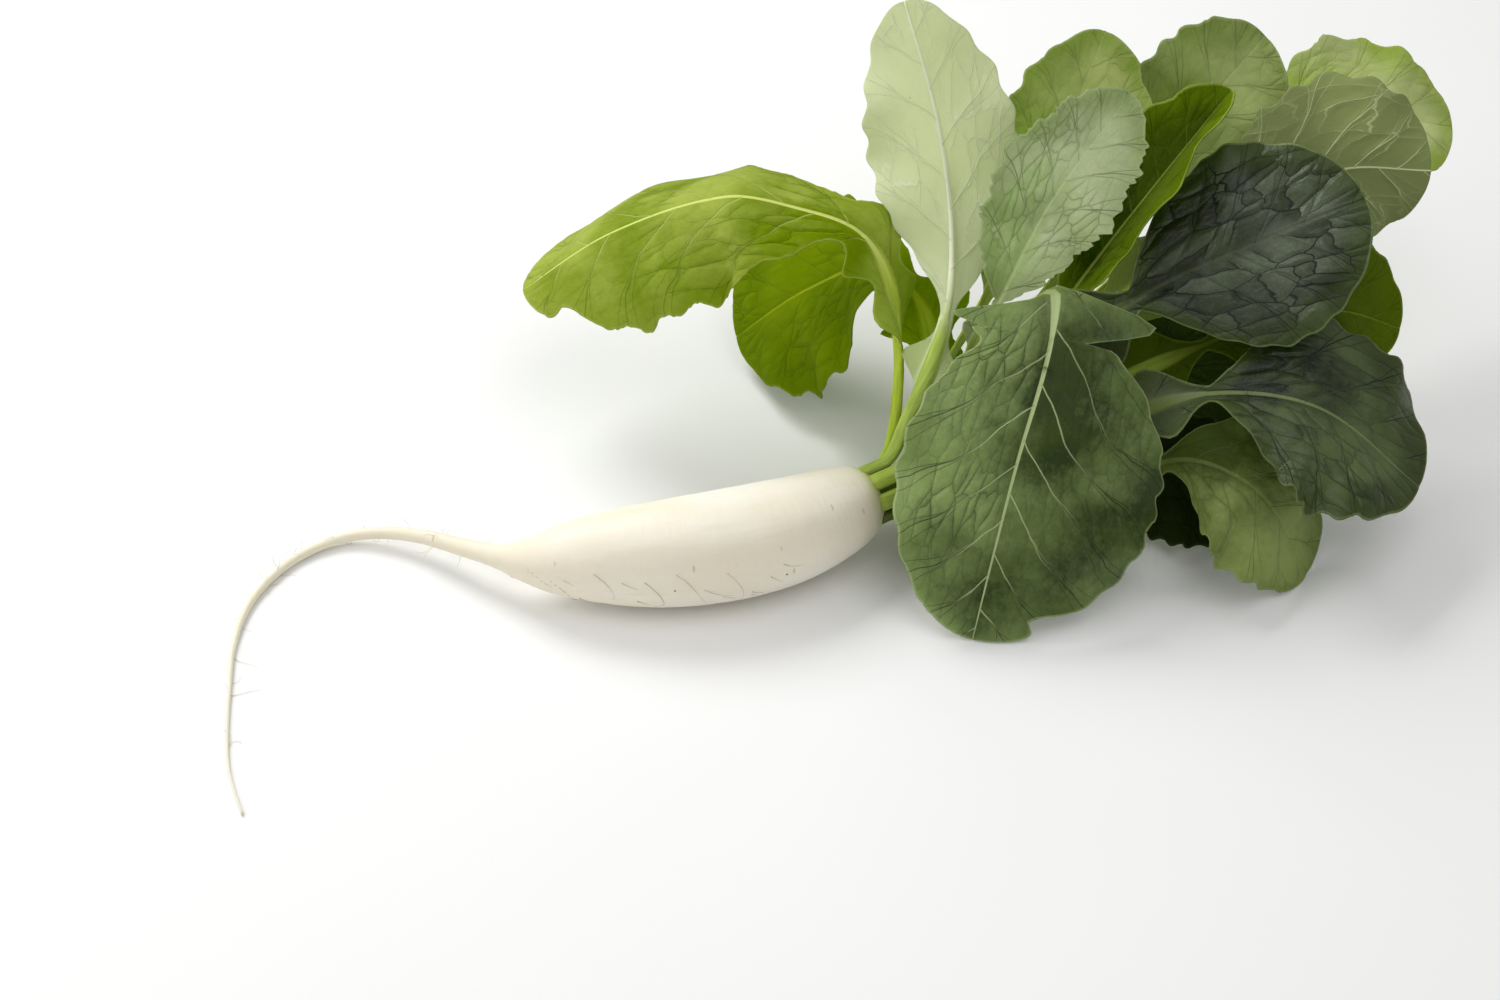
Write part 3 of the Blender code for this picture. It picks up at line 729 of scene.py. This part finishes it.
class Tone(NamedTuple):
    """The colours of one leaf, as a screen shows them, and how it takes the light."""

    dark: tuple
    # The light colour is partly the leaf's paler green and partly painted sheen, greyish where the blade
    # shines.
    light: tuple
    vein: tuple
    under: tuple = (150, 165, 110)
    under_vein: tuple = (190, 205, 140)
    stalk: tuple = (184, 206, 82)
    through: tuple = (76, 98, 6)  # the light that comes through the blade
    see_through: float = 0.36
    sheen: float = 0.25  # how strongly the skin reflects
    gloss: float = 0.46  # roughness of the upper side
    rib: float = 0.3  # how pale the rib is
    veins: float = 0.3  # and the side veins near it
    groove: float = 0.3  # how dark the painted shade in the sunk side veins is past that
    net: float = 0.15  # and the net
    rim: float = 0.4  # how pale the margin is
    edge: float = 0.3  # how far the band inside it is painted with the colour of the light that comes through
    specks: float = 0.3
    facets: float = 0.0  # how much painted light and shade change from one swelling to the next, and how far each tilts
    lean: tuple = (0.0, 0.0)  # and how much painted sheen makes it lighter towards the right margin and towards the tip
    margin_sheen: float = 0.0  # painted sheen and shade: how much darker it is near the rib than near the margins
    blotches: float = 0.7  # how much it changes in broad soft patches, partly random tone and partly painted sheen
    olive: float = 0.3  # and how far its hue does
    stalk_from: float = 2.0  # mm along the rib where the stalk's green begins


# Painted light: leaf_tall, leaf_toothed, leaf_back, leaf_far, leaf_top and leaf_under get paler colours that
# stand for the light they catch.
TONES = {
    "leaf_front": Tone(
        (42, 62, 2), (148, 172, 100), (196, 212, 150), through=(120, 150, 20), see_through=0.22, sheen=0.45,
        gloss=0.42, rib=0.85, veins=0.8, groove=0.9, net=0.4, edge=0.05, facets=0.3, lean=(-0.32, 0.3),
        margin_sheen=0.45, blotches=0.6, stalk_from=-10,
    ),
    "leaf_left": Tone(
        (130, 154, 6), (212, 224, 108), (222, 232, 130), under=(118, 138, 50), under_vein=(170, 184, 104),
        stalk=(190, 212, 70), through=(186, 210, 4), see_through=0.45, sheen=0.05, rib=0.95, veins=0.7,
        groove=0.45, net=0.2, facets=0.4, lean=(0.0, 0.5),
    ),
    "leaf_rear": Tone(
        (110, 134, 0), (152, 174, 0), (188, 201, 45), under=(104, 124, 34), under_vein=(150, 168, 80),
        stalk=(178, 204, 60), through=(170, 200, 2), see_through=0.42, sheen=0.04, rib=0.5, veins=0.25,
    ),
    "leaf_tall": Tone(
        (210, 228, 142), (242, 252, 180), (236, 237, 188), under=(246, 250, 218),
        under_vein=(250, 252, 224), stalk=(176, 200, 84), through=(240, 248, 196), see_through=0.46,
        sheen=0.2, gloss=0.5, rib=0.9, groove=0.2, net=0.12, rim=0.2, specks=0.8, stalk_from=14,
    ),
    "leaf_toothed": Tone(
        (190, 222, 136), (240, 250, 200), (217, 234, 171), under=(130, 148, 96), under_vein=(166, 180, 126),
        through=(150, 180, 50), see_through=0.26, sheen=0.3, gloss=0.5, veins=0.25, groove=0.6, net=0.35,
        facets=0.4,
    ),
    "leaf_folded": Tone(
        (26, 36, 0), (106, 128, 30), (172, 187, 81), under=(122, 146, 50), under_vein=(176, 194, 110),
        through=(150, 184, 6), sheen=0.06, rib=0.7, groove=0.4, net=0.2, rim=0.9, edge=0.85,
        lean=(-0.9, 0.5),
    ),
    "leaf_back": Tone(
        (204, 240, 98), (250, 255, 172), (230, 237, 174), under=(146, 164, 104), under_vein=(186, 198, 146),
        through=(160, 192, 20), rib=0.4, veins=0.4,
    ),
    "leaf_round": Tone(
        (26, 34, 12), (94, 104, 82), (106, 123, 67), under=(110, 124, 84), under_vein=(150, 160, 118),
        see_through=0.1, sheen=0.5, gloss=0.36, rib=0.1, veins=0.05, groove=0.6, net=1.0, rim=0.95,
        edge=0.8, facets=1.5, lean=(0, 0.4), olive=0.45,
    ),
    "leaf_veined": Tone(
        (101, 117, 62), (132, 146, 87), (169, 180, 123), under=(148, 160, 98), under_vein=(224, 232, 176),
        through=(130, 160, 40), see_through=0.22, gloss=0.5, rib=0.6, veins=0.5, groove=0.5, net=0.1,
    ),
    "leaf_far": Tone(
        (196, 222, 74), (250, 254, 196), (198, 215, 120), through=(160, 192, 10), sheen=0.2, groove=0.25,
    ),
    "leaf_top": Tone(
        (156, 180, 78), (216, 230, 150), (210, 228, 169), through=(150, 180, 40), see_through=0.3, rib=0.4,
        groove=0.35, net=0.2,
    ),
    "leaf_low": Tone(
        (56, 72, 0), (98, 114, 18), (156, 175, 55), through=(130, 160, 2), see_through=0.26, sheen=0.08,
        rib=0.4, veins=0.25, edge=0.5,
    ),
    "leaf_glossy": Tone(
        (8, 22, 0), (92, 108, 60), (139, 152, 94), under=(110, 124, 84), under_vein=(150, 160, 118),
        stalk=(100, 116, 38), see_through=0.1, sheen=0.55, gloss=0.3, rib=0.6, veins=0.1, groove=1.0,
        net=0.35, edge=0.8, facets=0.6, lean=(0.0, 0.35), blotches=0.9, olive=0.45,
    ),
    "leaf_under": Tone(
        (72, 88, 22), (166, 182, 106), (154, 173, 105), stalk=(100, 116, 38), through=(110, 140, 14),
        see_through=0.16, gloss=0.5, veins=0.2, groove=0.25, net=0.1, lean=(0, 0.7), olive=0.2,
    ),
    # Painted shade: leaf_shaded and leaf_resting get very dark greens that stand for the shade they lie in.
    "leaf_shaded": Tone(
        (22, 32, 4), (38, 50, 14), (74, 88, 38), through=(60, 84, 4), see_through=0.1, sheen=0.05,
        gloss=0.5, veins=0.2, net=0.1, edge=0.1,
    ),
    "leaf_resting": Tone(
        (30, 42, 8), (52, 68, 20), (88, 104, 48), stalk=(120, 140, 50), through=(50, 70, 4),
        see_through=0.08, sheen=0.05, gloss=0.5, veins=0.2, net=0.1, edge=0.1,
    ),
}


FORKS = ((0.2, 0.42), (0.5, -0.36))  # for each fork of a side vein, what draws its start, and how it leans
STALK_GREENING = 22  # mm over which the stalk's green comes in


def vein_lines(wire, veins):
    """Thin lines on the side veins and their forks: 1 on a line and 0 off it."""
    across, share = veins.part(0), veins.part(2)
    off_vein = off_side_vein(veins)
    number = wire.math("FLOOR", across)
    narrowing = share.step(1.1, 0.0) * 0.016 + 0.007
    lines = (wire.math("ABSOLUTE", off_vein) / narrowing).step(1.4, 0.5)
    for shift, lean in FORKS:
        chance = wire.add("TexWhiteNoise", {"noise_dimensions": "1D"}, {"W": number + shift})
        past = share - (chance * 0.4 + 0.2)
        off_fork = wire.math("ABSOLUTE", off_vein - past * lean)
        fork = (off_fork / (narrowing * 0.7)).step(1.4, 0.5) * past.step(0.0, 0.03) * 0.7
        lines = wire.math("MAXIMUM", lines, fork)
    return lines


def swelling_painted_light_and_tilt(wire, veins, leaf):
    """For each swelling of the net, how much painted light makes it lighter or darker than the rest, and the
    slope of its surface.
    """
    cells = net_cells(veins, leaf)
    chosen = cells.cells(leaf.cell, "F1", out=1)
    centre = cells.cells(leaf.cell, "F1", out=2)
    off_centre = wire.add("VectorMath", {"operation": "SUBTRACT"}, {0: cells, 1: centre})
    leant = wire.add("VectorMath", {"operation": "SUBTRACT"}, {0: chosen, 1: (0.5, 0.5, 0.5)})
    tilt = wire.add("VectorMath", {"operation": "DOT_PRODUCT"}, {0: off_centre, 1: leant}, out=1)
    return chosen.part(0) - 0.5, tilt


def leaf_finish(name, tone, leaf):
    """A leaf's skin: greener above and paler below, with a pale rib, veins, a fine net and a light margin."""
    made, wire = new_finish(name)
    spot, veins, ribs = (
        wire.add("Attribute", {"attribute_name": label}, out=1)
        for label in ("spot", "veins", "ribs")
    )
    under, share, quilting = spot.part(2), veins.part(2), ribs.part(2)
    on_blade = wire.math("MAXIMUM", spot.part(0).step(-10, 6), ribs.part(0).step(1.5, 2.5))
    place = spot.scaled(1, 1, 40)

    # The pattern: side veins, the net between them, and the swellings that the net surrounds.
    lines = vein_lines(wire, veins) * on_blade
    painted_facet_light, tilt = swelling_painted_light_and_tilt(wire, veins, leaf)
    net = net_of_veins(veins, leaf)
    net_line = net.step(0.22 / leaf.cell, 0.04 / leaf.cell) * on_blade * quilting
    fine_net = place.cells(1.5, "DISTANCE_TO_EDGE").step(0.1, 0.0) * on_blade
    rib = ribs.part(0).step(1.25, 0.8)
    broad = place.noise(30, 2, 0.45).step(0.34, 0.66)
    fine, grit = place.noise(2.4, 3), place.noise(0.9, 2)
    # dome raises the swellings in the bump, and it also paints sheen on their tops where it lightens the
    # blade.
    dome = net.step(0.0, 0.2) * quilting

    # The blade's green from above, with painted sheen, then its olive patches and the band of painted
    # through-light inside the margin.
    # Painted sheen: the blade is lighter towards one margin and the tip, and from the rib towards the
    # margins.
    painted_sheen = spot.part(1) * (2 * tone.lean[0] / leaf.width)
    painted_sheen = painted_sheen + (spot.part(0) / leaf.blade - 0.5) * tone.lean[1] + (share - 0.5) * tone.margin_sheen
    young = spot.part(0).step(2, -8) * 0.35
    texture = fine * 0.5 + grit * 0.25 - 0.3
    # The broad patches from the dark green to the light one are partly random tone and partly painted sheen.
    lightness = broad * tone.blotches + (0.7 - tone.blotches) * 0.5 + texture + dome * 0.15 + young + painted_sheen
    # Painted light: each swelling is lighter or darker, as if it caught the light its own way.
    lightness = lightness + painted_facet_light * quilting * (0.7 * tone.facets)
    blade = wire.add("Clamp", sockets={"Value": lightness}).mix(colour(*tone.dark), colour(*tone.light))
    olive = place.scaled(1, -1, 1).noise(17, 3).step(0.45, 0.7) * on_blade * tone.olive
    blade = olive.mix(blade, shade_of(tone.through, 0.62))
    painted_through_light_band = ribs.part(1).step(11, 1) * on_blade * tone.edge
    blade = painted_through_light_band.mix(blade, shade_of(tone.through, 0.75))

    # The veins are pale near the rib, and past that they are sunk grooves with painted shade in them, as are
    # the net's lines. The rib and the margin are pale.
    near_rib = share.step(0.7, 0.1)
    painted_groove_shade = wire.math("MAXIMUM", lines * (1 - near_rib * 0.85) * tone.groove, net_line * tone.net)
    shade = wire.math("MAXIMUM", painted_groove_shade, fine_net * (0.2 * tone.net))
    blade = shade.mix(blade, shade_of(tone.dark, 0.5))
    pale = wire.math("MAXIMUM", lines * (near_rib * 0.9 + 0.05) * tone.veins, rib * tone.rib)
    above = pale.mix(blade, colour(*tone.vein))
    margin = ribs.part(1).step(0.7, 0.25) * on_blade * tone.rim
    above = margin.mix(above, colour(*tone.vein))

    # The underside is paler, with raised veins. Specks and the stalk's green lie over both sides.
    below = (broad * 0.5 + fine * 0.3).mix(colour(*tone.under), shade_of(tone.under, 0.86))
    raised = wire.math("MAXIMUM", wire.math("MAXIMUM", lines * 0.85, net_line * 0.4), rib * 0.95)
    below = raised.mix(below, colour(*tone.under_vein))
    below = (spot.part(0).step(2, -10) * 0.5).mix(below, colour(*tone.stalk))
    skin = under.step(0.3, 0.7).mix(above, below)
    speck_chosen = place.cells(6, "F1", out=1).part(0).step(0.62, 0.64)
    specks = place.cells(6, "F1").step(0.05, 0.03) * speck_chosen * on_blade * tone.specks
    skin = specks.mix(skin, shade_of(tone.dark, 0.4))
    stalk_end = tone.stalk_from - STALK_GREENING
    on_stalk = spot.part(0).step(tone.stalk_from, stalk_end) * ribs.part(0).step(1.7, 1.2) * 0.95
    streak = spot.scaled(0.1, 1, 1).noise(0.9, 2).step(0.4, 0.7)
    skin = on_stalk.mix(skin, streak.mix(colour(*tone.stalk), shade_of(tone.stalk, 0.88)))

    # Veins are sunk on the upper side and stand out below, and the swellings tilt to and fro.
    sign = under * 2 - 1
    height = (lines * 0.16 + net_line * 0.12 + fine_net * 0.02) * sign + fine * 0.12 + grit * 0.05
    height = height + (dome * (0.3 * tone.net) + tilt * quilting * (0.35 * tone.facets)) * (1 - under)
    normal = height.bump()
    sockets = {
        "Base Color": skin,
        "Roughness": under * (0.58 - tone.gloss) + tone.gloss + fine * 0.1,
        "Normal": normal,
        "IOR": 1.42,
        "Specular IOR Level": tone.sheen,
    }
    gloss = wire.add("BsdfPrincipled", sockets=sockets)
    through = wire.add("BsdfTranslucent", sockets={"Color": colour(*tone.through), "Normal": normal})
    factor = on_blade * (1 - rib * 0.7) * (1 - net_line * 0.3) * tone.see_through
    wire.add("MixShader", sockets={0: factor, 1: gloss, 2: through}).to_surface()
    return made


LEAVES = {
    "leaf_front": Leaf(
        OUTER, 16, 1.0, ((54, 22, 34), (70, 32, 52), (80, 40, 64), (83, 37, 69), (81, 24, 60), (73, 4, 41),
        (66.5, -12, 20), (62, -21.5, 1.0)), 82, 70, ((0, -0.5, 1), (0, -1, 0.6)), cup=-30, base=0.42,
        peak=0.9, lobes=25, lobe_place=4.5, lobe_spread=5, bay=0.35, skew=0.14, scallop=0.02, seed=1,
        veins=15, slope=1.25, cell=6, pucker=0.3, plain=0.6, even=0.45, teeth=0.35, fineness=1.4,
    ),
    "leaf_left": Leaf(
        OUTER, -82, 1.0, ((44, 38, 38), (41, 50, 60), (33, 57, 73), (17, 60.5, 78.5), (-2.5, 63.5, 80),
        (-33, 67, 64.5), (-57.5, 68, 43.5)), 106, 58, ((0.1, -0.1, 1), (-0.5, -0.2, 1)), fold=-12, cup=-42,
        base=0.8, lobes=12, lobe_place=2, lobe_spread=7, lower=1.0, bay=0.3, seed=2, veins=19, slope=1.5,
        cell=8, teeth=0.8, pitch=3.6, fineness=1.35,
    ),
    "leaf_rear": Leaf(
        OUTER, -130, 1.0, ((52, 44, 20), (51.5, 60, 40), (40, 69, 51), (20, 79, 34), (0, 88, 8)), 72, 58,
        ((-0.1, -0.4, 1), (-0.5, -0.5, 0.7)), fold=4, cup=-20, lobes=12, lobe_spread=6, lower=0.9, seed=3,
        veins=14,
    ),
    "leaf_tall": Leaf(
        OUTER, -34, 1.0, ((46, 26, 36), (55, 40, 56), (57, 56, 72), (53, 74, 96), (44, 92, 122)), 84, 41,
        ((0.2, 1, -0.4), (0.0, 1, -0.7)), cup=16, base=1.1, peak=1.1, lobes=8, lobe_place=14, lobe_spread=5,
        seed=4, veins=16, slope=1.3, cell=8, pucker=0.2, teeth=0.1,
    ),
    "leaf_toothed": Leaf(
        INNER, -45, SLENDER, ((53, 30, 33), (68, 41, 61), (82, 54, 86), (102, 69, 110)), 64, 36,
        ((0.1, -0.8, 0.6), (0.3, -0.8, 0.4)), fold=10, cup=10, base=0.6, skew=0.1, seed=5, veins=11, cell=5,
        teeth=1.9, pitch=2.9,
    ),
    "leaf_folded": Leaf(
        INNER, 34, SLENDER, ((60, 30, 28), (84, 47, 53), (106, 66, 74), (131, 88, 96)), 76, 34,
        ((-0.6, -0.7, 0.4), (-0.7, -0.5, 0.5)), fold=38, cup=14, seed=6,
    ),
    "leaf_back": Leaf(
        INNER, -110, SLENDER, ((50, 38, 27), (72, 66, 53), (87, 86, 81), (98, 100, 106)), 62, 44,
        ((0.2, -0.8, 0.6), (0.3, -0.9, 0.4)), fold=10, cup=14, seed=7, cell=8, teeth=0.6,
    ),
    "leaf_round": Leaf(
        OUTER, 66, 1.0, ((61, 22, 25), (86, 36, 50), (108, 44, 64), (138, 50, 77), (164, 58, 84)), 66, 56,
        ((0, -0.7, 1), (0.2, -0.6, 1)), fold=4, cup=-26, base=0.7, lobes=11, lobe_place=14, lobe_spread=10,
        scallop=0.015, seed=8, veins=13, cell=8, pucker=0.35, even=0.8, teeth=0.1, fineness=1.4,
    ),
    "leaf_veined": Leaf(
        INNER, 178, SLENDER, ((62, 34, 14), (78, 41, 27), (98, 52, 48), (130, 68, 66), (160, 79, 76),
        (185, 79, 76)), 56, 50, ((0.2, 0.9, -0.4), (0.4, 0.8, -0.4)), fold=8, cup=20, base=0.6, lobes=10,
        lobe_place=27, lobe_spread=12, seed=9, veins=11, cell=9,
    ),
    "leaf_far": Leaf(
        CORE, 180, SLENDER, ((62, 38, 18), (96, 70, 36), (134, 93, 60), (168, 107, 71), (197, 112, 64)), 62,
        48, ((0.2, -0.6, 1), (0.6, -0.4, 0.8)), cup=-16, seed=10, cell=8, teeth=0.8,
    ),
    "leaf_top": Leaf(
        CORE, 0, SLENDER, ((55, 34, 23.5), (83, 63, 46), (108, 86, 66), (128, 101, 83), (143, 115, 93)), 58,
        44, ((0.1, -0.8, 0.7), (0.2, -0.8, 0.6)), fold=10, cup=12, seed=14, cell=8, teeth=0.6,
    ),
    "leaf_low": Leaf(
        INNER, 106, SLENDER, ((65, 30, 16), (100, 42, 32), (134, 50, 44), (160, 53, 49), (178, 54, 42)), 56,
        44, ((0.1, -0.8, 0.7), (0.5, -0.7, 0.6)), cup=-18, lobes=12, lobe_place=16, lobe_spread=9,
        lower=0.8, seed=11, cell=8,
    ),
    "leaf_glossy": Leaf(
        OUTER, 116, 1.0, ((60, 18, 18), (92, 18, 38), (122, 22, 48), (152, 20, 45), (180, 12, 24)), 66, 56,
        ((0, -0.4, 1), (0.6, -0.4, 0.8)), fold=8, cup=-22, lobes=9, lobe_place=13, lobe_spread=8, lower=0.6,
        seed=12, veins=14, slope=1.3, cell=7, even=0.5, fineness=1.35,
    ),
    "leaf_under": Leaf(
        OUTER, 166, 1.0, ((56, 20, 7), (91, 17, 17), (118, 15, 31), (137, 8, 26), (152, 3, 0.4)), 58, 44,
        ((0.2, -0.7, 0.7), (0.7, -0.5, 0.5)), cup=-18, lobes=8, lobe_place=12, lobe_spread=8, lower=0.6,
        seed=13, cell=9, pucker=0.2,
    ),
    "leaf_shaded": Leaf(
        BETWEEN, 142, SLIGHT, ((59, 23.5, 11), (86, 29, 15), (108, 28, 16), (126, 23, 12), (140, 18, 4)),
        52, 36, ((0, -0.6, 0.8), (0.3, -0.6, 0.7)), cup=-16, lobes=4, seed=15,
    ),
    "leaf_resting": Leaf(
        BETWEEN, 202, SLIGHT, ((58, 31, 4.6), (84, 48, 8), (105, 60, 12.5), (128, 67, 15.5),
        (148, 70, 12.5)), 60, 44, ((0, -0.5, 0.8), (0.2, -0.6, 0.7)), cup=-12, lobes=4, seed=16,
    ),
}
for leaf_name, leaf_form in LEAVES.items():
    make_leaf(leaf_name, leaf_form)

# The radish lies on a plain pale floor under soft studio light: a wide lamp behind on the left, which shines
# through the blades, weaker ones on the left and above, and light from all round.


FLOOR_HALF_SIDE = 3.0  # m
LIT_SPOT = (0.03, 0.03, 0.03)  # where the side lamps point, m


def floor_finish():
    """Even, nearly white paper."""
    made, wire = new_finish("floor_paper")
    tone = wire.add("TexCoord", out=3).noise(0.2)
    sockets = {"Base Color": tone.mix(colour(245, 245, 244), colour(250, 250, 249)), "Roughness": 0.8}
    wire.add("BsdfPrincipled", sockets=sockets).to_surface()
    return made


def make_floor():
    """The surface that the radish lies on. It is stage, and no part of it."""
    shape = bmesh.new()
    bmesh.ops.create_grid(shape, x_segments=1, y_segments=1, size=FLOOR_HALF_SIDE)
    mesh = bpy.data.meshes.new("floor")
    shape.to_mesh(mesh)
    shape.free()
    mesh.materials.append(floor_finish())
    made = in_scene("floor", mesh)


def make_lamp(name, place, aim, size, watts):
    """A square soft lamp at place, turned towards aim, both in metres."""
    data = bpy.data.lights.new(name, "AREA")
    data.size, data.energy = size, watts
    made = in_scene(name, data)
    made.location = place
    made.rotation_euler = (Vector(aim) - Vector(place)).to_track_quat("-Z", "Y").to_euler()


make_floor()
make_lamp("lamp_back_left", (-0.45, 0.55, 0.75), LIT_SPOT, 0.5, 6.2)
make_lamp("lamp_left", (-0.8, -0.15, 0.6), LIT_SPOT, 0.6, 2.3)
make_lamp("lamp_above", (0.3, -0.25, 1.0), (0.05, 0.03, 0.03), 0.7, 2.0)
world = bpy.data.worlds.new("studio")
world.use_nodes = True
world.node_tree.nodes["Background"].inputs["Color"].default_value = (1, 1, 1, 1)
world.node_tree.nodes["Background"].inputs["Strength"].default_value = 0.4
bpy.context.scene.world = world
bpy.context.scene.view_settings.view_transform = "Standard"

# The camera looks down on it at the photograph's angle.

AIM = Vector((0.004, 0.016, 0.015))
DISTANCE, ELEVATION, LENS = 0.94, math.radians(45), 85

camera = in_scene("camera", bpy.data.cameras.new("camera"))
camera.data.lens = LENS
camera.location = AIM + DISTANCE * Vector((0, -math.cos(ELEVATION), math.sin(ELEVATION)))
camera.rotation_euler = (AIM - camera.location).to_track_quat("-Z", "Y").to_euler()
bpy.context.scene.camera = camera
